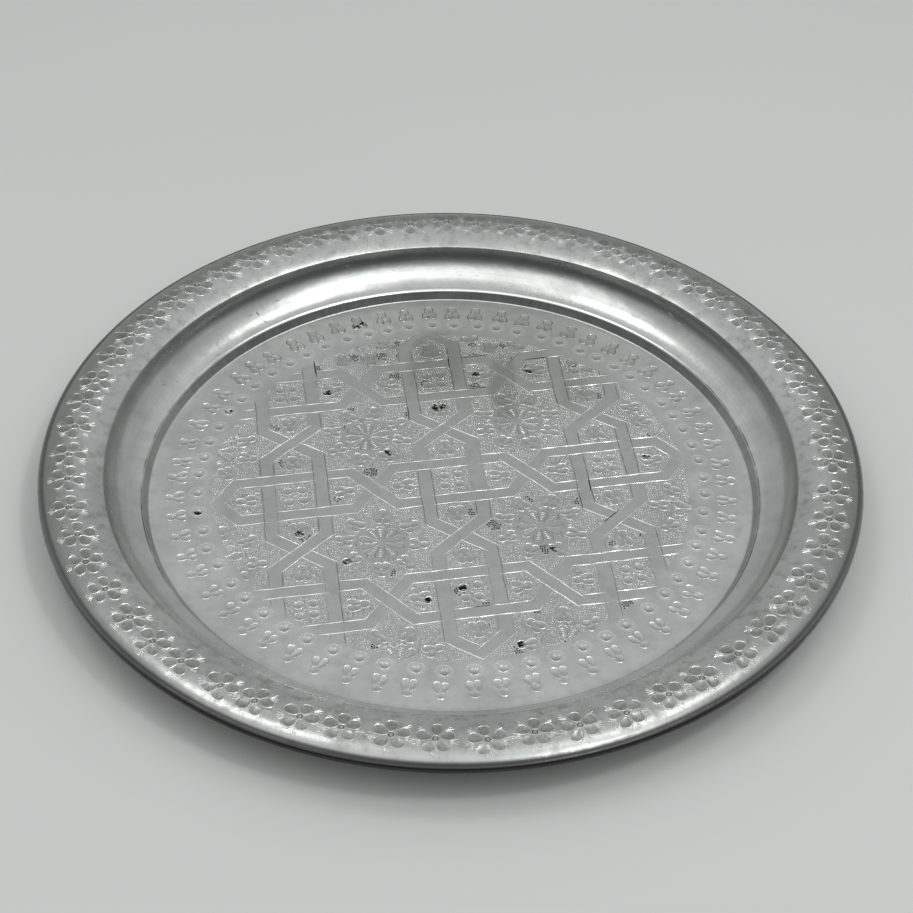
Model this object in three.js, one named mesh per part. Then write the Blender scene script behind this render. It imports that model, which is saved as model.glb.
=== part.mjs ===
// A round serving tray spun from one sheet, with a wire rolled into its edge.
// The axis of the tray is Z. It rests on the plane z = 0.
import * as THREE from "three";

// Driving dimensions, in millimetres
const SHEET = 0.8; // thickness of the spun sheet
const FLOOR_RADIUS = 141.7; // flat floor, out to the foot of the step
const STEP_RUN = 2.6; // step round the floor: how far it leans out
const STEP_RISE = 4.5; // and how high it stands
const COVE_RUN = 16.0; // cove: from the edge of the step out to the crest
const COVE_RISE = 16.0; // and up to it
const RIM_RUN = 27.5; // domed rim: from the crest out to the crease above the bead
const RIM_RISE = 1.85; // and how far the crease lies above the crest
const DOME_INNER_FULLNESS = 9.0; // how far the dome keeps its slope beside the crest
const DOME_OUTER_FULLNESS = 7.0; // and beside the crease
const WIRE_DIAMETER = 1.8; // stiffening wire in the rolled edge
const WIRE_CLEARANCE = 0.3; // between the wire and the sheet rolled round it

// Driving slopes and turns, in degrees: a slope is positive where the section climbs outwards
const COVE_FOOT_SLOPE = 12; // cove where it leaves the step
const DOME_CREST_SLOPE = 28; // dome where it leaves the crest
const DOME_CREASE_SLOPE = -36; // dome where it meets the bead
const CREASE_TURN = 95; // place of the crease on the bead, from straight outwards
const CURL_TURN = 310; // how far the edge is rolled round the wire

// Counts
const FACETS = 72; // round the axis
const COVE_STEPS = 8;
const DOME_STEPS = 8;
const CURL_STEPS = 14;
const WIRE_SIDES = 10;

const radians = THREE.MathUtils.degToRad;

// A unit vector in the section, at an angle from straight outwards.
function direction(angle) {
  return new THREE.Vector2(Math.cos(angle), Math.sin(angle));
}

// A hollow arc that leaves the foot at the given slope and ends at the crest.
function coveArc(foot, crest, footSlope) {
  const chord = crest.clone().sub(foot);
  const bend = 2 * (chord.angle() - footSlope);
  const radius = chord.length() / (2 * Math.sin(bend / 2));
  const start = footSlope - Math.PI / 2;
  const centre = foot.clone().addScaledVector(direction(start), -radius);
  return new THREE.EllipseCurve(centre.x, centre.y, radius, radius, start, start + bend);
}

// A domed curve from the crest to the crease, with its slope given at both ends.
function domeCurve(crest, crease) {
  const rising = direction(radians(DOME_CREST_SLOPE));
  const falling = direction(radians(DOME_CREASE_SLOPE));
  return new THREE.CubicBezierCurve(
    crest,
    crest.clone().addScaledVector(rising, DOME_INNER_FULLNESS),
    crease.clone().addScaledVector(falling, -DOME_OUTER_FULLNESS),
    crease,
  );
}

// The sheet's other face: each corner of a line moved square to it by the sheet's thickness.
function otherFace(line) {
  const headings = line.slice(1).map((point, i) => point.clone().sub(line[i]).angle());
  return line.map((point, i) => {
    const before = headings[Math.max(i - 1, 0)];
    const after = headings[Math.min(i, headings.length - 1)];
    const halfTurn = Math.atan2(Math.sin(after - before), Math.cos(after - before)) / 2;
    const square = direction(before + halfTurn - Math.PI / 2);
    return point.clone().addScaledVector(square, SHEET / Math.cos(halfTurn));
  });
}

// A closed section turned about the tray's axis.
function turned(section) {
  return new THREE.LatheGeometry(section, FACETS).rotateX(Math.PI / 2);
}

// The corners of the upper face, from the middle of the floor outwards
const middle = new THREE.Vector2(0, SHEET);
const stepFoot = new THREE.Vector2(FLOOR_RADIUS, SHEET);
const stepEdge = new THREE.Vector2(stepFoot.x + STEP_RUN, stepFoot.y + STEP_RISE);
const crest = new THREE.Vector2(stepEdge.x + COVE_RUN, stepEdge.y + COVE_RISE);
const crease = new THREE.Vector2(crest.x + RIM_RUN, crest.y + RIM_RISE);

// The bead: the sheet rolled round the wire, with the crease on its upper side
const beadRadius = WIRE_DIAMETER / 2 + WIRE_CLEARANCE + SHEET;
const creaseAngle = radians(CREASE_TURN);
const beadCentre = crease.clone().addScaledVector(direction(creaseAngle), -beadRadius);
const curlEnd = creaseAngle - radians(CURL_TURN);
const curl = new THREE.EllipseCurve(
  beadCentre.x, beadCentre.y, beadRadius, beadRadius, creaseAngle, curlEnd, true,
);

function traySheet() {
  const upperFace = [
    middle,
    stepFoot,
    ...coveArc(stepEdge, crest, radians(COVE_FOOT_SLOPE)).getPoints(COVE_STEPS),
    ...domeCurve(crest, crease).getPoints(DOME_STEPS).slice(1),
    ...curl.getPoints(CURL_STEPS).slice(1),
  ];
  const section = [...upperFace, ...otherFace(upperFace).reverse()];
  const material = new THREE.MeshStandardMaterial({ color: 0xb4b6b4, roughness: 0.35, metalness: 1 });
  return new THREE.Mesh(turned(section.reverse()), material);
}

function rimWire() {
  const radius = WIRE_DIAMETER / 2;
  const round = new THREE.EllipseCurve(beadCentre.x, beadCentre.y, radius, radius, 0, 2 * Math.PI);
  const material = new THREE.MeshStandardMaterial({ color: 0x6f7072, roughness: 0.5, metalness: 1 });
  return new THREE.Mesh(turned(round.getPoints(WIRE_SIDES)), material);
}

const tray = new THREE.Group();
for (const [name, piece] of Object.entries({ tray_sheet: traySheet(), rim_wire: rimWire() })) {
  piece.name = name;
  tray.add(piece);
}

export default tray;
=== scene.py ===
# %% [markdown]
# # A chased round serving tray
# The tray is one sheet of soft grey metal, spun to a flat floor, a small step, a hollow cove and a
# domed rim, with its edge rolled over a wire. Afterwards a chaser struck the floor and the rim with
# a handful of steel punches. This lesson spins the sheet first and then strikes it in the same way:
# every line, ring, petal and dot is a small solid that a Boolean takes out of the metal.

# %% Load the frame
import math
import random
from types import SimpleNamespace

import bmesh
import bpy
from mathutils import Matrix, Vector


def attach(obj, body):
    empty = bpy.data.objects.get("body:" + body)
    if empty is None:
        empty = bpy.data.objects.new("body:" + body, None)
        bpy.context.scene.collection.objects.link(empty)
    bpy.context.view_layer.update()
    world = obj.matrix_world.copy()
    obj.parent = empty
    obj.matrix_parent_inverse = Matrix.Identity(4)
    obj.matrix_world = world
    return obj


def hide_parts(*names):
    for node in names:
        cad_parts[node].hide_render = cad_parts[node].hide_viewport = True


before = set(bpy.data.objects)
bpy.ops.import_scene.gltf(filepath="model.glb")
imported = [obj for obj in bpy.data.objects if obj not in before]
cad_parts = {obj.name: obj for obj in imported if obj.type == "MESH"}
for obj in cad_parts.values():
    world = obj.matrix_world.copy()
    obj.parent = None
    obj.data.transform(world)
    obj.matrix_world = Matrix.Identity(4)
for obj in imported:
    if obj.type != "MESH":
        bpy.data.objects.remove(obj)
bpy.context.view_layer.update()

# %% [markdown]
# ## Camera
# The camera stands where the photographer stood: about a metre away, looking 42 degrees down. A
# camera looks along its own -Z with +Y up, so its matrix is put together from those directions.
# Lengths in this lesson are in millimetres and become metres only when a finished piece is stored.

# %% Camera
MM = 0.001
CAMERA_PLACE = Vector((2.4, -703.3, 652.2))
CAMERA_DOWN = math.radians(42.03)
CAMERA_ROLL = math.radians(1.09)
LENS = 80.12  # mm, on a sensor 36 mm wide


def add_camera():
    look = Vector((0, math.cos(CAMERA_DOWN), -math.sin(CAMERA_DOWN)))
    level = Vector((1, 0, 0))
    upright = level.cross(look)
    right = level * math.cos(CAMERA_ROLL) + upright * math.sin(CAMERA_ROLL)
    turn = Matrix((right, right.cross(look), -look)).transposed()
    data = bpy.data.cameras.new("camera")
    data.sensor_width = 36.0
    data.lens = LENS
    camera = bpy.data.objects.new("camera", data)
    camera.matrix_world = Matrix.Translation(CAMERA_PLACE * MM) @ turn.to_4x4()
    bpy.context.scene.collection.objects.link(camera)
    bpy.context.scene.camera = camera
    return camera


camera = add_camera()
print("camera looks along", tuple(round(c, 3) for c in -camera.matrix_world.col[2].xyz))

# %% [markdown]
# ## The section of the sheet
# A spun tray is a turned shape, so it is fully given by one line: the upper face of the sheet from
# the floor to the end of the curl. The cove is an arc, the dome a Bezier curve and the curl a circle.
# The sizes are those of the CAD frame, so the dressed sheet lies exactly where the solid does.

# %% Section of the sheet
SHEET = 0.8
FLOOR_RADIUS = 141.7
STEP_RUN, STEP_RISE = 2.6, 4.5
COVE_RUN, COVE_RISE = 16.0, 16.0
RIM_RUN, RIM_RISE = 27.5, 1.85
DOME_INNER_FULLNESS, DOME_OUTER_FULLNESS = 9.0, 7.0
BEAD_RADIUS = 2.0
COVE_FOOT_SLOPE = math.radians(12)
DOME_CREST_SLOPE = math.radians(28)
DOME_CREASE_SLOPE = math.radians(-36)
CREASE_TURN = math.radians(95)
CURL_TURN = math.radians(310)


def direction(angle):
    return Vector((math.cos(angle), math.sin(angle)))


STEP_FOOT = Vector((FLOOR_RADIUS, SHEET))
STEP_EDGE = STEP_FOOT + Vector((STEP_RUN, STEP_RISE))
CREST = STEP_EDGE + Vector((COVE_RUN, COVE_RISE))
CREASE = CREST + Vector((RIM_RUN, RIM_RISE))
DOME_HANDLES = (
    CREST + direction(DOME_CREST_SLOPE) * DOME_INNER_FULLNESS,
    CREASE - direction(DOME_CREASE_SLOPE) * DOME_OUTER_FULLNESS,
)


def cove_point(t):
    chord = CREST - STEP_EDGE
    bend = 2 * (math.atan2(chord.y, chord.x) - COVE_FOOT_SLOPE)
    radius = chord.length / (2 * math.sin(bend / 2))
    start = COVE_FOOT_SLOPE - math.pi / 2
    return STEP_EDGE + (direction(start + bend * t) - direction(start)) * radius


def dome_point(t):
    ends = (CREST, *DOME_HANDLES, CREASE)
    weights = ((1 - t) ** 3, 3 * t * (1 - t) ** 2, 3 * t * t * (1 - t), t ** 3)
    return sum((point * weight for point, weight in zip(ends, weights)), Vector((0, 0)))


def curl_point(t):
    centre = CREASE - direction(CREASE_TURN) * BEAD_RADIUS
    return centre + direction(CREASE_TURN - CURL_TURN * t) * BEAD_RADIUS


def sampled(curve, steps, first=0):
    return [curve(n / steps) for n in range(first, steps + 1)]


print("crest", tuple(CREST), "crease", tuple(CREASE))

# %% [markdown]
# ## Spinning the sheet
# Thousands of punch marks will be cut, so the sheet is made as four meshes that meet edge to edge: a
# disc for the middle of the field, a flat ring round it, another for the border, and the wall with the
# rim. Spin turns a section round the axis, Bevel rounds its corners a little and Solidify gives it the
# sheet's thickness below.

# %% Spinning the sheet
FACETS = 240
MIDDLE_SEAM, FIELD_SEAM, WALL_SEAM = 72.0, 113.6, 138.0
COVE_STEPS, DOME_STEPS, CURL_STEPS = 16, 22, 16
CORNER_ROUNDING = ((STEP_FOOT, 0.5), (STEP_EDGE, 0.8), (CREST, 0.35))
NEAR_ENOUGH = 1e-3


def new_piece(name, bm):
    mesh = bpy.data.meshes.new(name)
    bm.to_mesh(mesh)
    bm.free()
    piece = bpy.data.objects.new(name, mesh)
    bpy.context.scene.collection.objects.link(piece)
    return piece


def disc(name, radius):
    bm = bmesh.new()
    bmesh.ops.create_cone(
        bm, cap_ends=True, segments=FACETS, radius1=radius, radius2=radius, depth=SHEET,
        matrix=Matrix.Translation((0, 0, SHEET / 2)),
    )
    return new_piece(name, bm)


def lies_on(vert, corner):
    away = vert.co.xy.length - corner.x, vert.co.z - corner.y
    return max(map(abs, away)) < NEAR_ENOUGH


def turn_round(bm, line, steps, closed=False):
    """Spins a line of points, given as radius and height, once round the Z axis."""
    verts = [bm.verts.new((x, 0, z)) for x, z in line]
    onward = verts[1:] + verts[:1] if closed else verts[1:]
    edges = [bm.edges.new(pair) for pair in zip(verts, onward)]
    bmesh.ops.spin(
        bm, geom=verts + edges, cent=(0, 0, 0), axis=(0, 0, 1), angle=2 * math.pi, steps=steps,
        use_merge=True,
    )


def spun(name, line):
    bm = bmesh.new()
    turn_round(bm, line, FACETS)
    for corner, rounding in CORNER_ROUNDING:
        ring = [edge for edge in bm.edges if all(lies_on(vert, corner) for vert in edge.verts)]
        bmesh.ops.bevel(
            bm, geom=ring, offset=rounding, offset_type="OFFSET", segments=4, profile=0.5,
            affect="EDGES", material=-1,
        )
    bmesh.ops.recalc_face_normals(bm, faces=bm.faces)
    if min(bm.faces, key=lambda face: face.calc_center_median().xy.length).normal.z < 0:
        bmesh.ops.reverse_faces(bm, faces=bm.faces)
    piece = new_piece(name, bm)
    thickness = piece.modifiers.new("sheet", "SOLIDIFY")
    thickness.thickness = SHEET
    thickness.offset = -1
    thickness.use_even_offset = True
    return piece


seams = [Vector((radius, SHEET)) for radius in (MIDDLE_SEAM, FIELD_SEAM, WALL_SEAM)]
wall_line = [seams[2], STEP_FOOT] + sampled(cove_point, COVE_STEPS)
wall_line += sampled(dome_point, DOME_STEPS, 1) + sampled(curl_point, CURL_STEPS, 1)
floor_piece = disc("tray_floor", MIDDLE_SEAM)
field_piece = spun("tray_field", seams[:2])
border_piece = spun("tray_border", seams[1:])
wall_piece = spun("tray_rim", wall_line)
pieces = (floor_piece, field_piece, border_piece, wall_piece)
print("spun:", [(piece.name, len(piece.data.polygons)) for piece in pieces])

# %% [markdown]
# ## The chaser's punches
# Each punch is modelled once, about the size of one millimetre, with the metal's surface at z = 0.
# The liner leaves a boat-shaped nick, the dot punch a three-sided pit, the dish punch a hollow and the
# ring punch a groove. A strike is a punch with a matrix that says where and how it was struck.

# %% The punches
def punch_mesh(name, bm):
    mesh = bpy.data.meshes.new(name)
    bm.to_mesh(mesh)
    bm.free()
    return mesh


def pointed_punch(name, corners):
    bm = bmesh.new()
    bmesh.ops.create_uvsphere(bm, u_segments=corners, v_segments=2, radius=1)
    first = max(bm.verts, key=lambda vert: vert.co.x)
    turn = math.atan2(first.co.y, first.co.x)
    bmesh.ops.rotate(bm, verts=bm.verts, matrix=Matrix.Rotation(-turn, 3, "Z"))
    return punch_mesh(name, bm)


def egg(bm, taper):
    for vert in bm.verts:
        vert.co.y *= 1 + taper * vert.co.x


def dish_punch(name, taper=0.0, sides=12, bands=6, lift=0.5):
    bm = bmesh.new()
    bmesh.ops.create_uvsphere(bm, u_segments=sides, v_segments=bands, radius=1)
    bmesh.ops.translate(bm, verts=bm.verts, vec=(0, 0, lift))
    across = 1 / math.sqrt(1 - lift * lift)
    bmesh.ops.scale(bm, verts=bm.verts, vec=(across, across, 1 / (1 - lift)))
    egg(bm, taper)
    return punch_mesh(name, bm)


def ring_punch(name, groove, taper=0.0, sides=14, scallops=0, scallop=0.0):
    """A ring of radius 1 with a groove of the given share of it, 1 deep."""
    bm = bmesh.new()
    section = [(1 - groove / 2, 0), (1, -1), (1 + groove / 2, 0), (1, 1)]
    turn_round(bm, section, sides, closed=True)
    bmesh.ops.recalc_face_normals(bm, faces=bm.faces)
    if scallops:
        for vert in bm.verts:
            turn = math.atan2(vert.co.y, vert.co.x)
            wave = 1 + scallop * (abs(math.cos(turn * scallops / 2)) - 0.5)
            vert.co.x *= wave
            vert.co.y *= wave
    egg(bm, taper)
    return punch_mesh(name, bm)


liner = pointed_punch("liner", 6)
dot = pointed_punch("dot", 3)
lozenge = pointed_punch("lozenge", 4)
round_dish = dish_punch("round dish", sides=14)
egg_dish = dish_punch("egg dish", taper=0.28)
wedge_dish = dish_punch("wedge dish", taper=0.55)
egg_ring = ring_punch("egg ring", groove=0.17, taper=0.3, sides=14)
lobe_ring = ring_punch("lobe ring", groove=0.19, taper=0.28, sides=12)
wedge_ring = ring_punch("wedge ring", groove=0.13, taper=0.55, sides=12)
small_ring = ring_punch("small ring", groove=0.16, sides=14)
heart_ring = ring_punch("heart ring", groove=0.5, sides=12)
broad_ring = ring_punch("broad ring", groove=0.5, sides=18)
scalloped_ring = ring_punch("scalloped ring", groove=0.2, sides=52, scallops=13, scallop=0.13)
dishes = (round_dish, egg_dish, wedge_dish)
outlines = (egg_ring, lobe_ring, wedge_ring, small_ring, heart_ring, broad_ring, scalloped_ring)
print("punches:", [mesh.name for mesh in bpy.data.meshes if mesh.users == 0])

# What the metal of a mark looks like afterwards: how bright, matt, black and spotted it is
FINISHES = {
    "polished": (1.0, 0, 0, 0),
    "bright": (0.85, 0, 0, 0),
    "pale": (0.35, 0, 0, 0),
    "matt": (0, 1, 0, 0),
    "shaded": (0, 1, 0.15, 0),
    "dull": (0, 0, 0.3, 0),
    "dark": (0, 0, 0.55, 0),
    "black": (0, 0, 1, 0),
    "spotted": (0, 0, 0, 1),
}


def strike(punch, frame_here, turn=0.0, length=1.0, width=1.0, depth=0.3, finish="bright"):
    size = Matrix.Diagonal((length / 2, width / 2, depth, 1))
    return punch, frame_here @ Matrix.Rotation(turn, 4, "Z") @ size, finish


def round_strike(punch, frame_here, across, depth, finish="bright", turn=0.0):
    return strike(punch, frame_here, turn, across, across, depth, finish)


def on_floor(point):
    return Matrix.Translation((point.x, point.y, SHEET))


# %% [markdown]
# ## The strapwork
# The floor is filled by a traditional interlace: three rows and three columns of double straps that
# weave over and under each other. It is laid out in pattern coordinates u and v, whose axes the chaser
# drew a little out of square. Each row is one endless band that swaps sides between two crossings.

# %% Laying out the straps
PITCH = 74.0
ROW_TURN, COLUMN_TURN = math.radians(10.3), math.radians(7.7)
PATTERN_MIDDLE = Vector((0.4, 2.7))
STRAP_SIDE = 12.4  # from the middle of a square to the middle of the strap beside it
STRAP_BEND = 26.9
STRAP_WIDTH = 6.2
FIELD_RADIUS = 113.0
CROSSING_GAP = 0.35
U_AXIS = Vector((math.cos(ROW_TURN), math.sin(ROW_TURN)))
V_AXIS = Vector((-math.sin(COLUMN_TURN), math.cos(COLUMN_TURN)))


def pattern(u, v):
    return PATTERN_MIDDLE + U_AXIS * u + V_AXIS * v


def band(row, along):
    """The middle line of an endless band, as corners in u and v; along is 0 for a row, 1 for a column."""
    there, back = [(-1.5 * PITCH, 0)], []
    for unit in (-1, 0, 1):
        side = STRAP_SIDE if unit % 2 else -STRAP_SIDE
        for end in (-STRAP_BEND, STRAP_BEND):
            there.append((unit * PITCH + end, side))
            back.append((unit * PITCH + end, -side))
    corners = there + [(1.5 * PITCH, 0)] + back[::-1]
    corners = [(u, v + row * PITCH) for u, v in corners]
    return [(v, u) for u, v in corners] if along else corners


class Strap:
    """One straight stretch of a band, between two bends, with its two edges."""

    def __init__(self, corners, n, along):
        around = [Vector(corners[(n + k) % len(corners)]) for k in (-1, 0, 1, 2)]
        before, self.start, self.end, after = around
        self.along = along
        self.heading = (self.end - self.start).normalized()
        self.slanted = min(abs(self.heading.x), abs(self.heading.y)) > 0.1
        into = (self.start - before).normalized()
        onward = (after - self.end).normalized()
        self.edges = [
            (
                self.mitre(self.start, into, self.heading, side),
                self.mitre(self.end, self.heading, onward, side),
            )
            for side in (-1, 1)
        ]

    @staticmethod
    def mitre(corner, before, after, side):
        square = Vector((-before.y - after.y, before.x + after.x)).normalized()
        stretch = square.dot(Vector((-after.y, after.x)))
        return corner + square * (side * STRAP_WIDTH / 2 / stretch)

    def away(self, point):
        """Signed distance of a point from the strap's middle line."""
        return (point - self.start).cross(self.heading)

    def crosses(self, other):
        if abs(self.heading.cross(other.heading)) < 0.1:
            return False
        theirs = self.away(other.start) * self.away(other.end)
        ours = other.away(self.start) * other.away(self.end)
        return max(theirs, ours) < -1

    def goes_over(self, other):
        """At a square's corner rows and columns take turns. Slanted straps that rise to the right of a
        column, or fall to the right of a row, lie on top."""
        if self.slanted:
            rises = self.heading.x * self.heading.y > 0
            return rises if self.along else not rises
        row, column = (other, self) if self.along else (self, other)
        crossing = column.start.x, row.start.y
        corner = [(c + PITCH / 2) % PITCH - PITCH / 2 for c in crossing]
        return (corner[0] * corner[1] < 0) == (self.along == 0)


straps = []
for along in (0, 1):
    for row in (-1, 0, 1):
        corners = band(row, along)
        straps += [Strap(corners, n, along) for n in range(len(corners))]
print("straps:", len(straps))

# %% [markdown]
# ## Striking the strap lines
# The straps stay smooth, and only their edges are cut: short boat-shaped nicks set end to end, so that
# the line breathes as a hand-chased one does. An edge stops where its strap dives under another. Most of
# the upright lines are made dull and the others polished, which is painted shade on the upright lines and
# a painted highlight on the others. Seeded random numbers vary each nick, so every run of the lesson
# strikes the same tray.

# %% Striking the strap lines
NICK = 9.5
NICK_WIDTH, NICK_DEPTH = 0.6, 0.2
hand = random.Random(7)


def kept_stretches(strap, start, end):
    """The parts of an edge, as shares of its length, that no strap lies over."""
    hidden = []
    for other in straps:
        if other is strap or not strap.crosses(other) or strap.goes_over(other):
            continue
        near, far = other.away(start), other.away(end)
        half = STRAP_WIDTH / 2 + CROSSING_GAP
        hidden.append(sorted(((-half - near) / (far - near), (half - near) / (far - near))))
    stretches, begin = [], 0.0
    for first, last in sorted(hidden):
        stretches.append((begin, first))
        begin = last
    stretches.append((begin, 1.0))
    return [(max(a, 0), min(b, 1)) for a, b in stretches if min(b, 1) - max(a, 0) > 0.02]


def line_of_nicks(start, end, finish):
    path = end - start
    count = max(1, round(path.length / NICK))
    step = path / count
    force = hand.uniform(0.7, 1.25)
    strikes = []
    for n in range(count):
        sway = Vector((hand.gauss(0, 0.1), hand.gauss(0, 0.1)))
        middle = start + step * (n + 0.5) + sway
        turn = math.atan2(step.y, step.x) + hand.gauss(0, 0.025)
        length = step.length * hand.uniform(1.2, 1.5)
        width, depth = (size * force * hand.uniform(0.8, 1.1) for size in (NICK_WIDTH, NICK_DEPTH))
        strikes.append(strike(liner, on_floor(middle), turn, length, width, depth, finish))
    return strikes


def clipped(start, end):
    """The stretch of a line that lies in the round field."""
    path = end - start
    inside = [n / 60 for n in range(61) if (start + path * (n / 60)).length < FIELD_RADIUS]
    return (start + path * inside[0], start + path * inside[-1]) if len(inside) > 3 else None


strap_strikes = []
for strap in straps:
    for start, end in strap.edges:
        for first, last in kept_stretches(strap, start, end):
            a, b = (start + (end - start) * share for share in (first, last))
            stretch = clipped(pattern(*a), pattern(*b))
            upright = strap.along and not strap.slanted
            # by their direction, upright lines are made darker and the others brighter: painted shade and
            # painted highlight
            finish = hand.choice(("dull", "dull", "pale")) if upright else "polished"
            if stretch:
                strap_strikes += line_of_nicks(*stretch, finish)
print("strap nicks:", len(strap_strikes))

# %% [markdown]
# ## Buds, rosettes and rings
# The same few marks come back all over the floor. A bud is three egg-shaped lobes, two at its foot and
# one at its tip, each lined with a smaller one. A rosette has ten hatched petals round a plain hub and
# eight buds round them. Every square holds four small dishes, and curls fill the room that is left. Rings
# and buds form two borders, spaced by eye: the marks crowd a little on one side of the tray, which a slow
# cosine swing of their headings gives.

# %% Motifs of the floor
LOBES = (
    # outwards, sideways, heading, length, width
    (2.0, 0.0, 0.0, 6.0, 4.4),
    (-1.5, 1.5, math.pi - 0.25, 6.6, 3.9),
    (-1.5, -1.5, math.pi + 0.25, 6.6, 3.9),
)
LINING_LENGTH, LINING_WIDTH = 0.62, 0.58  # shares of the lobe
PIP_LENGTH, PIP_WIDTH = 3.4, 0.7
BUD_ROOM = 4.5
ROSETTE_PETALS, ROSETTE_BUDS = 10, 8
PETAL_REACH, PETAL_LENGTH, PETAL_WIDTH = 6.6, 8.4, 4.2
PETAL_FOOT, RUNGS_LENGTH = 3.0, 7.0
RUNG_SHARES = (0.2, 0.36, 0.52, 0.68, 0.84)
ROSETTE_BUD_REACH, ROSETTE_ROOM = 17.2, 12.2
SQUARE_DISH, SQUARE_RING = 4.2, 4.8
plain_circles = []  # places that the ground punch leaves alone: a middle and a radius


def bud(middle, turn, size=1.0, deep=1.0, lining="dull"):
    outward = direction(turn)
    side = Vector((-outward.y, outward.x))
    strikes = []
    for out, across, heading, length, width in LOBES:
        here = on_floor(middle + (outward * out + side * across) * size)
        heading += turn + hand.gauss(0, 0.1)
        length, width = (size * whole * hand.uniform(0.9, 1.1) for whole in (length, width))
        inner = length * LINING_LENGTH, width * LINING_WIDTH
        depth = deep * hand.uniform(0.7, 1.2)
        pip = hand.choice(("matt", "dark"))
        strikes += [
            strike(egg_dish, here, heading, length, width, 0.22 * depth, "matt"),
            strike(lobe_ring, here, heading, length, width, 0.17 * depth),
            strike(lobe_ring, here, heading, *inner, 0.13 * depth, lining),
            strike(liner, here, heading, PIP_LENGTH * size, PIP_WIDTH * size, 0.28 * depth, pip),
        ]
    plain_circles.append((middle, BUD_ROOM * size))
    return strikes


def curls(middle, count, reach):
    """Small curls struck round a motif, wherever the chaser had room."""
    strikes = []
    for _ in range(count):
        heading = hand.uniform(0, math.tau)
        place = middle + direction(heading) * (reach * hand.uniform(0.7, 1.1))
        size, finish = hand.uniform(1.7, 2.8), hand.choice(("bright", "dull"))
        turn = heading + hand.gauss(0, 0.5)
        strikes.append(strike(lobe_ring, on_floor(place), turn, size * 1.4, size, 0.13, finish))
    return strikes


def rosette_petal(middle, heading):
    outward = direction(heading)
    depth = hand.uniform(0.8, 1.2)
    edge = hand.choice(("pale", "dull"))
    here = on_floor(middle + outward * PETAL_REACH)
    strikes = [
        strike(wedge_dish, here, heading, PETAL_LENGTH, PETAL_WIDTH, 0.08 * depth, "matt"),
        strike(wedge_ring, here, heading, PETAL_LENGTH + 0.2, PETAL_WIDTH + 0.1, 0.1 * depth, edge),
    ]
    for share in RUNG_SHARES:
        rung = on_floor(middle + outward * (PETAL_FOOT + RUNGS_LENGTH * share))
        strikes.append(strike(liner, rung, heading + math.pi / 2, 1.0 + 2.4 * share, 0.6, 0.2 * depth))
    return strikes


def rosette(middle, turn):
    strikes = []
    for n in range(ROSETTE_PETALS):
        heading = turn + n * math.tau / ROSETTE_PETALS + hand.gauss(0, 0.03)
        strikes += rosette_petal(middle, heading)
    for n in range(ROSETTE_BUDS):
        heading = turn + (n + 0.5) * math.tau / ROSETTE_BUDS + hand.gauss(0, 0.04)
        strikes += bud(middle + direction(heading) * ROSETTE_BUD_REACH, heading, 0.95)
    plain_circles.append((middle, ROSETTE_ROOM))
    return strikes + curls(middle, 10, 13.0)


def square_filling(middle):
    strikes = []
    for u in (-3.3, 3.3):
        for v in (-3.5, 3.5):
            place = middle + U_AXIS * (u + hand.gauss(0, 0.2)) + V_AXIS * (v + hand.gauss(0, 0.2))
            strikes.append(round_strike(round_dish, on_floor(place), SQUARE_DISH, 0.2, "matt"))
            strikes.append(round_strike(small_ring, on_floor(place), SQUARE_RING, 0.08))
            plain_circles.append((place, SQUARE_RING / 2))
    strikes.append(round_strike(lozenge, on_floor(middle), 2.0, 0.35, "matt", ROW_TURN))
    return strikes + curls(middle, 7, 6.0)


def fits(middle, reach):
    return middle.length + reach < FIELD_RADIUS


def spaced(count, first, swing, swing_at):
    """Headings all round the tray as a hand spaces them; the angles are in degrees."""
    for n in range(count):
        even = n * math.tau / count
        lag = math.radians(first) + math.radians(swing) * math.cos(even - math.radians(swing_at))
        yield even + lag + hand.gauss(0, 0.006)


CELL_REACH = 23.0  # from the middle of a square to the cells round it
motif_strikes = []
for i in (-1, 0, 1):
    for k in (-1, 0, 1):
        motif_strikes += square_filling(pattern(i * PITCH, k * PITCH))
        for quarter in range(4):
            out = direction(quarter * math.pi / 2) * CELL_REACH
            middle = pattern(i * PITCH + out.x, k * PITCH + out.y)
            if fits(middle, 4):
                motif_strikes += bud(middle, quarter * math.pi / 2 + ROW_TURN, 1.05, 0.7)
                motif_strikes += curls(middle, 7, 5.6)
for i in (-1.5, -0.5, 0.5, 1.5):
    for k in (-1.5, -0.5, 0.5, 1.5):
        if abs(i) + abs(k) < 2.5:
            motif_strikes += rosette(pattern(i * PITCH, k * PITCH), hand.uniform(0, 0.6))
motif_strikes = [made for made in motif_strikes if fits(made[1].translation.xy, 1.5)]
plain_circles = [(middle, reach) for middle, reach in plain_circles if fits(middle, 0)]

BORDER_MARKS = 63
BORDER_MIDDLE = Vector((0.3, 0.8))
RING_RADIUS, BUD_RADIUS = 119.5, 129.6
border_strikes = []
for heading in spaced(BORDER_MARKS, -0.1, 3.4, -16):
    here = on_floor(BORDER_MIDDLE + direction(heading) * (RING_RADIUS + hand.gauss(0, 0.3)))
    border_strikes += [
        round_strike(broad_ring, here, 5.8, 0.13, "pale"),
        round_strike(scalloped_ring, here, 7.6, 0.08, "pale", hand.uniform(0, 0.6)),
        round_strike(round_dish, here, 3.8, 0.3, "shaded"),
        round_strike(small_ring, here, 4.5, 0.07, "pale"),
    ]
for heading in spaced(BORDER_MARKS, -0.3, 2.4, -12):
    place = BORDER_MIDDLE + direction(heading) * (BUD_RADIUS + hand.gauss(0, 0.3))
    border_strikes += bud(place, heading, deep=1.35, lining=hand.choice(("bright", "dull")))
print("motif strikes:", len(motif_strikes), "border strikes:", len(border_strikes))

# %% [markdown]
# ## The stippled ground
# Between the straps and the motifs the ground is matted with a dot punch, row beside row. The loop
# walks along rows in pattern coordinates, each begun at another place, and keeps the places that lie on
# bare ground.

# %% The stippled ground
DOT_PITCH = 1.12
DOT_STRAY = 0.07
DOT_SIZE, DOT_DEPTH = 0.8, 0.175
STRAP_ROOM, STRAP_END_ROOM = 0.75, 1.5


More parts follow.
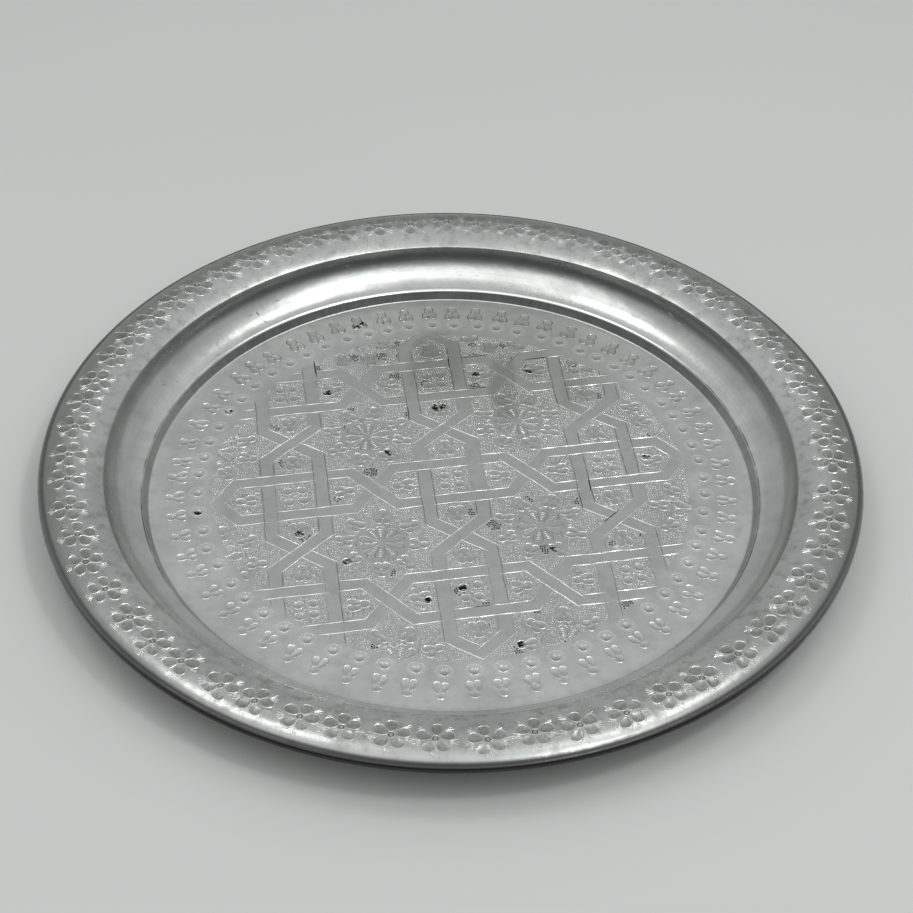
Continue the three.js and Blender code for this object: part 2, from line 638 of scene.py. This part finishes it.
def on_a_strap(u, v):
    point = Vector((u, v))
    for strap in straps:
        along = (point - strap.start).dot(strap.heading)
        length = (strap.end - strap.start).length
        if -STRAP_END_ROOM < along < length + STRAP_END_ROOM:
            if abs(strap.away(point)) < STRAP_WIDTH / 2 + STRAP_ROOM:
                return True
    return False


def bare_ground():
    reach = int(FIELD_RADIUS / DOT_PITCH) + 1
    for k in range(-reach, reach + 1):
        begin = hand.uniform(0, DOT_PITCH)
        for i in range(-reach, reach + 1):
            u = begin + i * DOT_PITCH + hand.gauss(0, DOT_STRAY)
            v = k * DOT_PITCH + hand.gauss(0, DOT_STRAY)
            place = pattern(u, v)
            if place.length > FIELD_RADIUS - 1 or on_a_strap(u, v):
                continue
            if any((place - middle).length < radius + 0.4 for middle, radius in plain_circles):
                continue
            yield place


dot_strikes = []
for place in bare_ground():
    turn, depth = hand.gauss(-math.pi / 2, 0.2), DOT_DEPTH * hand.uniform(0.8, 1.2)
    finish = hand.choice(("pale", "pale", "dull"))
    dot_strikes.append(strike(dot, on_floor(place), turn, DOT_SIZE, DOT_SIZE, depth, finish))
print("dots:", len(dot_strikes))

# %% [markdown]
# ## Tarnish
# In some sixty places black tarnish has stayed in the punch marks. The dozen that catch the eye are
# listed and the others are drawn at random, a third of them at the back of the floor, where it is
# dirty. Most marks beside one of them turn black.

# %% Tarnish
TARNISH_COUNT, TARNISH_GAP = 64, 9.0
TARNISH_RADIUS = 122.0
tarnish_spots = [
    Vector(place) for place in (
        (-117, -23), (5, -70), (80, -77), (60, -10), (36, -10), (-46, -54),
        (-27, -59), (-67, -37), (9, 105), (60, 90), (-29, 78), (-80, 12),
    )
]
while len(tarnish_spots) < TARNISH_COUNT:
    place = direction(hand.uniform(0, math.tau)) * (TARNISH_RADIUS * math.sqrt(hand.random()))
    if len(tarnish_spots) % 3 == 0:
        place = Vector((hand.gauss(10, 38), hand.gauss(92, 16)))
    if all((place - other).length > TARNISH_GAP for other in tarnish_spots):
        tarnish_spots.append(place)
tarnish_reach = [hand.uniform(1.8, 3.5) for _ in tarnish_spots]


def is_tarnished(place):
    near = any((place - spot).length < reach for spot, reach in zip(tarnish_spots, tarnish_reach))
    return near and hand.random() < 0.85


def tarnished(strikes):
    aged = []
    for punch, matrix, finish in strikes:
        if punch not in (*outlines, wedge_dish) and is_tarnished(matrix.translation.xy):
            finish = "spotted" if punch in dishes else "black"
            if punch is dot:
                punch = liner
                matrix = matrix @ Matrix.Scale(1.12, 4)
        aged.append((punch, matrix, finish))
    return aged


strap_strikes, motif_strikes, border_strikes, dot_strikes = (
    tarnished(strikes) for strikes in (strap_strikes, motif_strikes, border_strikes, dot_strikes)
)
floor_strikes = strap_strikes + motif_strikes + border_strikes + dot_strikes
print("black marks:", sum(finish in ("spotted", "black") for _, _, finish in floor_strikes))

# %% [markdown]
# ## Flowers of the rim
# Sixty flowers stand round the rim. Each has a ring-punched heart, five egg-shaped petals and five fans
# of fine lines that spread where two petals part. They are struck lighter at the back and hardest on the
# near right. The rim is domed, so every mark gets its own frame: a matrix whose X runs along the section
# and whose Z stands square on the metal.

# %% Flowers of the rim
FLOWERS, FLOWER_RADIUS = 60, 176.1
FLOWER_PETALS = 5
FLOWER_PETAL_REACH, FLOWER_PETAL_LENGTH, FLOWER_PETAL_WIDTH = 4.9, 6.9, 5.6
FAN_REACH, FAN_GAP = 5.2, 0.8  # from the heart to where petals part, and from there to the lines
FAN_LENGTH, FAN_SPREAD = 4.6, 0.3
HARDEST_AT = math.radians(-55)  # heading of the flowers that were struck hardest


def standing(section, share, heading):
    """The frame on a turned surface, at a share of its section and at a heading."""
    here, ahead = section(share), section(share + 1e-4)
    slope = ahead - here
    spot = direction(heading) * here.x
    tilt = Matrix.Rotation(-math.atan2(slope.y, slope.x), 4, "Y")
    return Matrix.Translation((spot.x, spot.y, here.y)) @ Matrix.Rotation(heading, 4, "Z") @ tilt


def dome_share(radius):
    low, high = 0.0, 1.0
    for _ in range(30):
        middle = (low + high) / 2
        low, high = (middle, high) if dome_point(middle).x < radius else (low, middle)
    return low


def rim_strike(punch, middle, heading, reach, length, width, depth, finish="bright"):
    place = middle + direction(heading) * reach
    round_turn = math.atan2(place.y, place.x)
    here = standing(dome_point, dome_share(place.length), round_turn)
    return strike(punch, here, heading - round_turn, length, width, depth, finish)


def flower_petal(middle, heading, force):
    heading += hand.gauss(0, 0.08)
    reach = FLOWER_PETAL_REACH + hand.gauss(0, 0.2)
    length = FLOWER_PETAL_LENGTH * hand.uniform(0.88, 1.08)
    width = FLOWER_PETAL_WIDTH * hand.uniform(0.86, 1.06)
    deep = force * hand.uniform(0.7, 1.3)
    inside = hand.choice(("matt", "matt", "shaded"))
    # outlines are made brighter on the flowers struck hardest, at the near right: a painted highlight
    outline = "polished" if force > 1.1 else "bright"
    return [
        rim_strike(egg_dish, middle, heading, reach, length, width, 0.2 * deep, inside),
        rim_strike(egg_ring, middle, heading, reach, length, width, 0.19 * deep, outline),
    ]


def fan(middle, heading, force):
    parting = middle + direction(heading) * FAN_REACH
    width, deep = 0.3 + 0.08 * force, 0.17 * force
    # fans are made polished, and only pale at the back of the rim: painted highlight and painted shade
    finish = "polished" if force > 0.9 else "pale"
    strikes = []
    for line in (-2, -1, 0, 1, 2):
        turn = heading + line * FAN_SPREAD + hand.gauss(0, 0.04)
        length = (FAN_LENGTH - abs(line) * 0.3) * hand.uniform(0.8, 1.1)
        reach = FAN_GAP + length / 2
        strikes.append(rim_strike(liner, parting, turn, reach, length, width, deep, finish))
    return strikes


def flower(middle, turn, force):
    strikes = [
        rim_strike(heart_ring, middle, turn, 0, 2.1, 2.1, 0.3, "dark"),
        rim_strike(small_ring, middle, turn, 0, 3.4, 3.4, 0.12),
    ]
    for n in range(FLOWER_PETALS):
        strikes += flower_petal(middle, turn + n * math.tau / FLOWER_PETALS, force)
        strikes += fan(middle, turn + (n + 0.5) * math.tau / FLOWER_PETALS, force)
    return strikes


rim_strikes = []
for heading in spaced(FLOWERS, 0.7, 3.5, 27):
    middle = direction(heading) * (FLOWER_RADIUS + hand.gauss(0, 0.4))
    lighter = max(math.sin(heading), 0) ** 2
    harder = max(math.cos(heading - HARDEST_AT), 0) ** 2
    force = 1.0 - 0.5 * lighter + 0.45 * harder
    rim_strikes += flower(middle, heading + math.pi / 5 + hand.gauss(0, 0.14), force)
print("rim strikes:", len(rim_strikes))

# %% [markdown]
# ## Scratches and pits
# Years of use have left pits and short scratches in the cove and on the rim. They are struck with the
# same liner and dot punch, very fine.

# %% Scratches and pits
COVE_SCRATCHES, RIM_SCRATCHES, COVE_PITS = 70, 120, 60


def cove_strike(punch, heading, share, turn, length, width, depth, finish):
    here = standing(cove_point, share, math.radians(heading))
    return strike(punch, here, math.radians(turn), length, width, depth, finish)


wear_strikes = [
    cove_strike(liner, 131, 0.42, 12, 4.5, 0.5, 0.2, "black"),
    cove_strike(liner, 130.6, 0.2, 25, 3.0, 0.4, 0.2, "black"),
    cove_strike(liner, 46, 0.75, 75, 6.0, 0.4, 0.12, "matt"),
    cove_strike(liner, 43.5, 0.68, 95, 6.0, 0.4, 0.12, "matt"),
    cove_strike(liner, 40.8, 0.6, 120, 5.0, 0.4, 0.12, "matt"),
]
for _ in range(COVE_SCRATCHES):
    heading, share = hand.uniform(0, 360), hand.uniform(0.05, 0.95)
    length = hand.uniform(1.0, 5.0)
    turn, finish = hand.gauss(90, 35), hand.choice(("matt", "black"))
    wear_strikes.append(cove_strike(liner, heading, share, turn, length, 0.25, 0.08, finish))
for _ in range(RIM_SCRATCHES):
    middle = direction(hand.uniform(0, math.tau)) * hand.uniform(161.5, 185.0)
    length, finish = hand.uniform(1.0, 6.0), hand.choice(("pale", "matt", "dark"))
    turn = hand.uniform(0, math.tau)
    wear_strikes.append(rim_strike(liner, middle, turn, 0, length, 0.22, 0.06, finish))
for _ in range(COVE_PITS):
    heading, share = hand.gauss(70, 40), hand.uniform(0.1, 0.95)
    size = hand.uniform(0.35, 0.8)
    wear_strikes.append(cove_strike(dot, heading, share, 0, size, size, 0.15, "black"))
print("scratches and pits:", len(wear_strikes))

# %% [markdown]
# ## Striking the metal
# A Boolean modifier takes the punches out of the sheet. Marks that overlap in one cutter would confuse
# it, so they are dealt into layers in which no two touch, and each layer is one modifier. The cut faces
# take the cutter's material for a moment, which shows afterwards which faces were struck. A mark that
# lies across the seam of two meshes is struck on both.

# %% Striking the metal
CRISP_ANGLE = math.radians(28)


def layers(strikes):
    dealt = []
    for punch, matrix, finish in strikes:
        middle = matrix.translation
        turn = matrix.to_3x3()
        reach = max((turn @ vert.co).length for vert in punch.vertices)
        for layer in dealt:
            if all((middle - other).length > reach + far for _, other, far in layer):
                break
        else:
            layer = []
            dealt.append(layer)
        layer.append(((punch, matrix, finish), middle, reach))
    return [[made for made, _, _ in layer] for layer in dealt]


def cutter(name, strikes):
    bm = bmesh.new()
    for punch, matrix, finish in strikes:
        tool = punch.copy()
        tool.transform(matrix)
        tool.polygons.foreach_set("material_index", [list(FINISHES).index(finish)] * len(tool.polygons))
        bm.from_mesh(tool)
        bpy.data.meshes.remove(tool)
    tool = new_piece(name, bm)
    for finish in FINISHES:
        tool.data.materials.append(bpy.data.materials[finish])
    return tool


def struck(piece, dealt):
    for name in ("plain", *FINISHES):
        bpy.data.materials.new(name)
    piece.data.materials.append(bpy.data.materials["plain"])
    tools = []
    for n, strikes in enumerate(dealt):
        cut = piece.modifiers.new(f"layer {n}", "BOOLEAN")
        cut.operation = "DIFFERENCE"
        cut.solver = "MANIFOLD"
        cut.material_mode = "TRANSFER"
        cut.object = cutter(f"cutter {n}", strikes)
        tools.append(cut.object.data)
    graph = bpy.context.evaluated_depsgraph_get()
    mesh = bpy.data.meshes.new_from_object(piece.evaluated_get(graph))
    piece.modifiers.clear()
    blank, piece.data = piece.data, mesh
    finish_struck(mesh)
    for tool in (blank, *tools):
        bpy.data.meshes.remove(tool)
    for name in ("plain", *FINISHES):
        bpy.data.materials.remove(bpy.data.materials[name])
    mesh.transform(Matrix.Scale(MM, 4))


def finish_struck(mesh):
    """Keeps each face's finish in a colour attribute, and makes the edges of the marks crisp."""
    finishes = [FINISHES.get(material.name, (0, 0, 0, 0)) for material in mesh.materials]
    mesh.shade_smooth()
    mesh.set_sharp_from_angle(angle=CRISP_ANGLE)
    bm = bmesh.new()
    bm.from_mesh(mesh)
    chasing = bm.faces.layers.float_color.new("chasing")
    for edge in bm.edges:
        if len({face.material_index for face in edge.link_faces}) > 1:
            edge.smooth = False
    for face in bm.faces:
        face[chasing] = finishes[face.material_index]
        face.material_index = 0
    bm.to_mesh(mesh)
    bm.free()
    mesh.materials.clear()
    print(mesh.name, "triangles:", sum(len(face.vertices) - 2 for face in mesh.polygons))


def touching(strikes, inner, outer):
    """The strikes whose marks reach into a ring of the floor."""
    kept = []
    for made in strikes:
        reach = 0.8 * max(made[1].to_scale()) + 0.8
        if inner - reach < made[1].translation.xy.length < outer + reach:
            kept.append(made)
    return kept


for piece, inner, outer in ((floor_piece, 0, MIDDLE_SEAM), (field_piece, MIDDLE_SEAM, FIELD_SEAM)):
    drawn = touching(strap_strikes + motif_strikes, inner, outer)
    struck(piece, layers(drawn) + [touching(dot_strikes, inner, outer)])
struck(border_piece, layers(border_strikes))
struck(wall_piece, layers(rim_strikes + wear_strikes))

# %% [markdown]
# ## The metal
# Worn aluminium is a satin metal: dull and slightly mottled where hands and cloths have rubbed it,
# brighter in the cove, and darker in the punch marks, where polish and dirt stay. Python sums on a small
# class that holds a socket keep the node maths readable.

# %% Node sums in Python
class Socket:
    """An output socket of a node tree that takes part in Python sums."""

    def __init__(self, tree, output=None):
        self.tree = tree
        self.output = output

    def node(self, kind, settings=None, sockets=None, output=0):
        made = self.tree.nodes.new("ShaderNode" + kind)
        for name, value in (settings or {}).items():
            setattr(made, name, value)
        for name, value in (sockets or {}).items():
            if isinstance(value, Socket):
                self.tree.links.new(value.output, made.inputs[name])
            else:
                made.inputs[name].default_value = value
        return Socket(self.tree, made.outputs[output])

    def math(self, operation, first, second=0.0):
        return self.node("Math", {"operation": operation}, {0: first, 1: second})

    def __add__(self, other):
        return self.math("ADD", self, other)

    def __sub__(self, other):
        return self.math("SUBTRACT", self, other)

    def __mul__(self, other):
        return self.math("MULTIPLY", self, other)

    def __truediv__(self, other):
        return self.math("DIVIDE", self, other)

    def __rsub__(self, other):
        return self.math("SUBTRACT", other, self)

    __radd__ = __add__
    __rmul__ = __mul__

    def smooth_step(self, low, high):
        settings = {"interpolation_type": "SMOOTHSTEP"}
        return self.node("MapRange", settings, {"Value": self, "From Min": low, "From Max": high})

    def blend(self, first, second):
        sockets = {0: self, 6: first, 7: second}
        return self.node("Mix", {"data_type": "RGBA"}, sockets, output=2)


def new_material(name):
    material = bpy.data.materials.new(name)
    material.use_nodes = True
    shader = material.node_tree.nodes["Principled BSDF"]
    return material, shader, Socket(material.node_tree)


def feed(shader, name, socket):
    socket.tree.links.new(socket.output, shader.inputs[name])


def vectors(operation, first, second=(1, 1, 1), output="Vector"):
    sockets = {0: first, 1: second}
    return first.node("VectorMath", {"operation": operation}, sockets, output=output)


def part_of(vector, axis):
    return vector.node("SeparateXYZ", {}, {0: vector}, output=axis)


def noise(vector, scale, detail, roughness=0.6):
    sockets = {"Vector": vector, "Scale": scale, "Detail": detail, "Roughness": roughness}
    return vector.node("TexNoise", {}, sockets)


print("methods of a socket:", [name for name in vars(Socket) if not name.startswith("__")])

# %% [markdown]
# ## Zones and noises of the tray
# The material first works out where on the tray a point lies. Object coordinates give its distance from
# the axis and its heading, and Map Range turns both into soft masks from 0 to 1, one for each zone. Noise
# textures add the clouds of wear, the stains and the grain. A few smudges lie at the back of the floor.

# %% Zones and noises of the tray
SMUDGES = (
    # middle in x and y, half width, half height, strength
    (15, 90, 62, 40, 0.35),
    (-8, 90, 17, 27, 0.85),
    (25, 75, 8, 28, 0.85),
    (60, 72, 8, 17, 0.51),
)


def circle_mask(radius, middle, inner, outer):
    """1 along a circle round the axis, fading to 0 on both sides of it."""
    return 1 - radius.math("ABSOLUTE", radius - middle).smooth_step(inner, outer)


def tray_zones(place):
    zone = SimpleNamespace()
    plan = vectors("MULTIPLY", place, (1, 1, 0))
    zone.heading = vectors("NORMALIZE", plan)
    zone.radius = radius = vectors("LENGTH", plan, output="Value") / MM
    depthwise = part_of(zone.heading, "Y")
    zone.front = 1 - depthwise.smooth_step(-0.9, -0.3)
    zone.back = depthwise.smooth_step(0.1, 0.8)
    zone.sideways = 1 - depthwise.math("ABSOLUTE", depthwise).smooth_step(0.4, 0.75)
    zone.far = part_of(place, "Y").smooth_step(40 * MM, 115 * MM)
    zone.upper = part_of(place, "Z").smooth_step(0.3 * MM, 0.5 * MM)
    zone.field = 1 - radius.smooth_step(FIELD_SEAM - 7.6, FIELD_SEAM + 2.4)
    zone.wall = radius.smooth_step(FLOOR_RADIUS - 0.1, FLOOR_RADIUS + 0.3)
    zone.rim = radius.smooth_step(CREST.x - 0.5, CREST.x + 0.5)
    zone.riser = zone.wall * (1 - radius.smooth_step(STEP_EDGE.x - 0.5, STEP_EDGE.x - 0.1))
    zone.edge_line = circle_mask(radius, STEP_EDGE.x + 0.3, 0.05, 0.4)
    # a painted highlight along the step edge, at the back only
    zone.edge_shine = circle_mask(radius, STEP_EDGE.x + 0.5, 0.15, 0.65) * zone.back
    zone.cove = zone.wall * (1 - zone.rim)
    zone.cove_top = radius.smooth_step(CREST.x - 4.3, CREST.x - 0.3) * (1 - zone.rim)
    zone.rim_edge = radius.smooth_step(CREASE.x - 16.8, CREASE.x - 5.8)
    zone.lip = radius.smooth_step(CREASE.x - 4.3, CREASE.x - 1.3)
    zone.crease = circle_mask(radius, CREASE.x + 0.1, 0.2, 1.7)
    zone.bead = radius.smooth_step(CREASE.x - 0.1, CREASE.x + 0.4)
    return zone


def smudge(place, ragged, x, y, half_width, half_height):
    away = vectors("SUBTRACT", place, (x * MM, y * MM, 0))
    away = vectors("MULTIPLY", away, (1 / half_width / MM, 1 / half_height / MM, 0))
    return (vectors("LENGTH", away, output="Value") + ragged).smooth_step(1.35, 0.5)


def tray_wear(place, zone):
    wear = SimpleNamespace()
    wear.cloud = noise(place, 28.0, 5.0)
    wear.swell = noise(place, 95.0, 2.0)
    wear.grain = noise(place, 900.0, 2.0)
    wear.spots = noise(place, 620.0, 3.0)
    wear.streaks = noise(zone.heading, 60.0, 6.0, 0.75)
    turned = place.node("CombineXYZ", {}, {"Z": zone.radius * 0.9})
    wear.tool_marks = noise(vectors("ADD", turned, zone.heading), 1.6, 3.0)
    wear.rubbed = wear.cloud.smooth_step(0.35, 0.72)
    blotch = noise(place, 170.0, 6.0, 0.65)
    wear.stain = blotch.smooth_step(0.46, 0.7) * (0.5 - 0.3 * zone.cove + 0.5 * zone.rim)
    ragged = (wear.cloud - 0.5) * 1.5 + (blotch - 0.5) * 0.8
    patches = [smudge(place, ragged, *where) * strength for *where, strength in SMUDGES]
    wear.dirt = patches[0]
    for patch in patches[1:]:
        wear.dirt = patch.math("MAXIMUM", wear.dirt, patch)
    return wear


def struck_finishes(start):
    """The finish that every struck face carries in its colour attribute."""
    chasing = start.node("Attribute", {"attribute_name": "chasing"}, output="Color")
    bright, matt, black = (start.node("SeparateColor", {}, {0: chasing}, output=n) for n in range(3))
    spotted = start.node("Attribute", {"attribute_name": "chasing"}, output="Alpha")
    return SimpleNamespace(bright=bright, matt=matt, black=black, spotted=spotted)


print("smudges on the floor:", len(SMUDGES))

# %% [markdown]
# ## Colour, roughness and waves of the tray
# Each line of the colour lays one more thing over the metal below it, from rubbed clouds to soot. Some
# lines paint light and shade: a highlight on the step edge at the back, and shade on the rim's outer
# part, the lip, the riser, the top of the cove, the crease, the bead and the bright marks at the back of
# the rim.
# Rubbed, stained and sooty places are rougher as well. The height gives the slight waves of a hammered
# sheet.

# %% The metal of the tray
CLEAN, RUBBED = (0.647, 0.672, 0.655, 1), (0.517, 0.541, 0.526, 1)
SWELL_GREY, FIELD_GREY = (0.41, 0.43, 0.415, 1), (0.41, 0.425, 0.415, 1)
# The second grey is painted shade for the outer part of the rim.
RIM_GREY, RIM_EDGE_SHADE = (0.352, 0.366, 0.354, 1), (0.273, 0.286, 0.275, 1)
# The first grey is painted shade for the lip at the front.
LIP_SHADE, TOOL_GREY = (0.2, 0.2, 0.195, 1), (0.34, 0.34, 0.33, 1)
DIRT, STAIN, DISH_GREY = (0.33, 0.335, 0.305, 1), (0.25, 0.25, 0.24, 1), (0.24, 0.24, 0.23, 1)
# The first grey is a painted highlight for the step edge; the second brightens polished marks.
PAINTED_HIGHLIGHT, POLISH = (0.90, 0.90, 0.89, 1), (0.80, 0.80, 0.79, 1)
# The second of these is the near black of painted shade, with some grime, in the hollows and edges of the
# sheet.
BACK_OUTLINE_GREY, SHADE_AND_GRIME, SOOT = (0.14, 0.14, 0.13, 1), (0.04, 0.04, 0.04, 1), (0.015, 0.015, 0.015, 1)


def tray_shade_and_grime(zone, wear):
    # Painted shade in the hollows and edges of the sheet, with some grime. The riser is darker all round
    # and most of all at the back: painted shade, with streaks of grime.
    shade_and_grime = zone.riser * (0.2 + 0.38 * zone.back + 0.1 * wear.streaks.smooth_step(0.35, 0.65))
    for more in (
        # a patchy dark line on the step edge, at the sides only: painted shade
        zone.edge_line * zone.sideways * wear.cloud.smooth_step(0.38, 0.55) * 0.85,
        # the top of the cove darker all round and most at the back: painted shade
        zone.cove_top * (0.35 + zone.back * 0.25),
        # the bead darker all round, and much darker at the front: painted shade at the front
        zone.bead * (0.25 + zone.front * 0.7),
        # the crease between dome and bead darker, most at the front: painted shade
        zone.crease * (0.6 + zone.front * 0.35),
    ):
        shade_and_grime = shade_and_grime.math("MAXIMUM", shade_and_grime, more)
    return shade_and_grime


def tray_colour(zone, wear, mark):
    metal = wear.rubbed.blend(CLEAN, RUBBED)
    metal = (wear.swell.smooth_step(0.45, 0.7) * 0.25).blend(metal, SWELL_GREY)
    metal = (zone.rim * 0.16).blend(metal, RIM_GREY)
    # the outer part of the rim darker, least at the front: painted shade
    metal = (zone.rim_edge * (0.75 - zone.front * 0.6)).blend(metal, RIM_EDGE_SHADE)
    # the lip darker at the front only: painted shade that dims the highlight there
    metal = (zone.lip * zone.front * 0.6).blend(metal, LIP_SHADE)
    metal = (zone.field * zone.upper * 0.42).blend(metal, FIELD_GREY)
    metal = (wear.dirt * zone.upper).blend(metal, DIRT)
    metal = (wear.stain * (0.4 + zone.rim * 0.22)).blend(metal, STAIN)
    metal = (zone.cove * wear.tool_marks.smooth_step(0.45, 0.75) * 0.14).blend(metal, TOOL_GREY)
    # painted highlight on the step edge at the back
    metal = (zone.edge_shine * 0.8).blend(metal, PAINTED_HIGHLIGHT)
    # on the back of the rim the bright marks are blended less: painted shade
    metal = (mark.bright * (0.6 - zone.rim * zone.back * 0.45)).blend(metal, POLISH)
    mottle = wear.spots.smooth_step(0.36, 0.62)
    metal = (mark.matt * (0.12 + zone.rim * (0.06 + mottle * 0.42))).blend(metal, DISH_GREY)
    # the marks at the back of the floor are made darker, their bright outlines most
    back_outline_darkening = mark.bright.smooth_step(0.5, 0.8) * 0.7 + mark.matt * 0.12
    metal = (back_outline_darkening * zone.far * (1 - zone.wall)).blend(metal, BACK_OUTLINE_GREY)
    # painted shade, with some grime, laid over all of it
    return tray_shade_and_grime(zone, wear).blend(metal, SHADE_AND_GRIME)


def tray_metal():
    material, shader, start = new_material("tray_metal")
    place = start.node("TexCoord", output="Object")
    zone = tray_zones(place)
    wear = tray_wear(place, zone)
    mark = struck_finishes(start)
    soot = start.math("MAXIMUM", mark.black, mark.spotted * wear.spots.smooth_step(0.44, 0.54))
    feed(shader, "Base Color", soot.blend(tray_colour(zone, wear, mark), SOOT))
    rough = 0.27 + wear.rubbed * 0.06 - zone.rim * 0.03 - zone.cove * 0.1 + wear.stain * 0.1
    rough = rough + wear.grain * 0.04 + zone.cove * wear.tool_marks * 0.06
    feed(shader, "Roughness", rough + soot * 0.3)
    shader.inputs["Metallic"].default_value = 1.0
    height = wear.cloud * 0.00025 + wear.swell * 0.00012  # metres
    height = height + wear.tool_marks * zone.wall * 0.00001 + wear.grain * 0.00001
    bump = start.node("Bump", {}, {"Height": height, "Strength": 1.0, "Distance": 1.0})
    feed(shader, "Normal", bump)
    return material


def wire_metal():
    material, shader, start = new_material("wire_metal")
    cloud = noise(start.node("TexCoord", output="Object"), 120.0, 4.0, 0.5)
    feed(shader, "Base Color", cloud.blend((0.30, 0.30, 0.30, 1), (0.44, 0.44, 0.45, 1)))
    feed(shader, "Roughness", 0.38 + cloud * 0.2)
    shader.inputs["Metallic"].default_value = 1.0
    return material


metal = tray_metal()
for piece in pieces:
    piece.data.materials.append(metal)
    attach(piece, "root")
    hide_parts("tray_sheet")
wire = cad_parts["rim_wire"]
wire.data.materials.clear()
wire.data.materials.append(wire_metal())
print("materials:", [material.name for material in bpy.data.materials])

# %% [markdown]
# ## Floor and light
# A plain pale floor and a large soft box show satin metal best: the box stands above and behind the
# tray's near edge, where its reflection runs along the cove and picks out the cuts. Three small lamps
# overhead add the glints on the near rim and the ends of the cove. The surroundings are a soft grey,
# lighter in front of the camera, which is what the flat floor of the tray mirrors, and dark low down
# behind it.

# %% Floor and light
FLOOR_GAP = 0.2  # mm, so that the tray's underside and the floor never share a plane
LIGHTS = (
    # name, place in metres, width, height, power in watts
    ("soft box", (0, -0.64, 1.54), 2.6, 1.26, 8.5),
    ("lamp", (0.58, -0.43, 1.43), 0.18, 0.18, 2.8),
    ("left lamp", (-0.55, 0.26, 1.48), 0.4, 0.4, 1.7),
    ("right lamp", (0.55, 0.26, 1.48), 0.4, 0.4, 1.7),
)


def add_floor():
    bm = bmesh.new()
    under = Matrix.Translation((0, 0, -FLOOR_GAP * MM))
    bmesh.ops.create_circle(bm, cap_ends=True, segments=96, radius=6.0, matrix=under)
    stage = new_piece("studio_floor", bm)
    material, shader, start = new_material("studio_floor")
    cloud = noise(start.node("TexCoord", output="Object"), 3.0, 2.0, 0.5)
    feed(shader, "Base Color", cloud.blend((0.58, 0.59, 0.58, 1), (0.61, 0.62, 0.61, 1)))
    shader.inputs["Roughness"].default_value = 0.9
    shader.inputs["Specular IOR Level"].default_value = 0.0
    stage.data.materials.append(material)


def add_softbox(name, place, width, height, power):
    data = bpy.data.lights.new(name, "AREA")
    data.shape = "RECTANGLE"
    data.size = width
    data.size_y = height
    data.energy = power
    light = bpy.data.objects.new(name, data)
    toward_tray = (-Vector(place)).to_track_quat("-Z", "Y")
    light.matrix_world = Matrix.Translation(place) @ toward_tray.to_matrix().to_4x4()
    bpy.context.scene.collection.objects.link(light)


def add_world():
    world = bpy.data.worlds.new("studio")
    world.use_nodes = True
    bpy.context.scene.world = world
    back = world.node_tree.nodes["Background"]
    start = Socket(world.node_tree)
    toward = start.node("TexCoord", output="Generated")
    height = part_of(toward, "Z")
    horizon = (height + part_of(toward, "Y") * 0.35).smooth_step(0.06, 0.38)
    colour = horizon.blend((0.13, 0.13, 0.13, 1), (0.47, 0.47, 0.47, 1))
    colour = height.smooth_step(0.52, 0.82).blend(colour, (0.65, 0.66, 0.66, 1))
    feed(back, "Color", colour)
    back.inputs["Strength"].default_value = 1.0


add_floor()
add_world()
for light in LIGHTS:
    add_softbox(*light)
bpy.context.scene.view_settings.view_transform = "Standard"
print("lights:", [item.name for item in bpy.data.lights])

# %% [markdown]
# ## Sizes
# The box of the dressed tray should be the same as that of the solids, because the marks are cut
# into the sheet and nothing stands out from it.
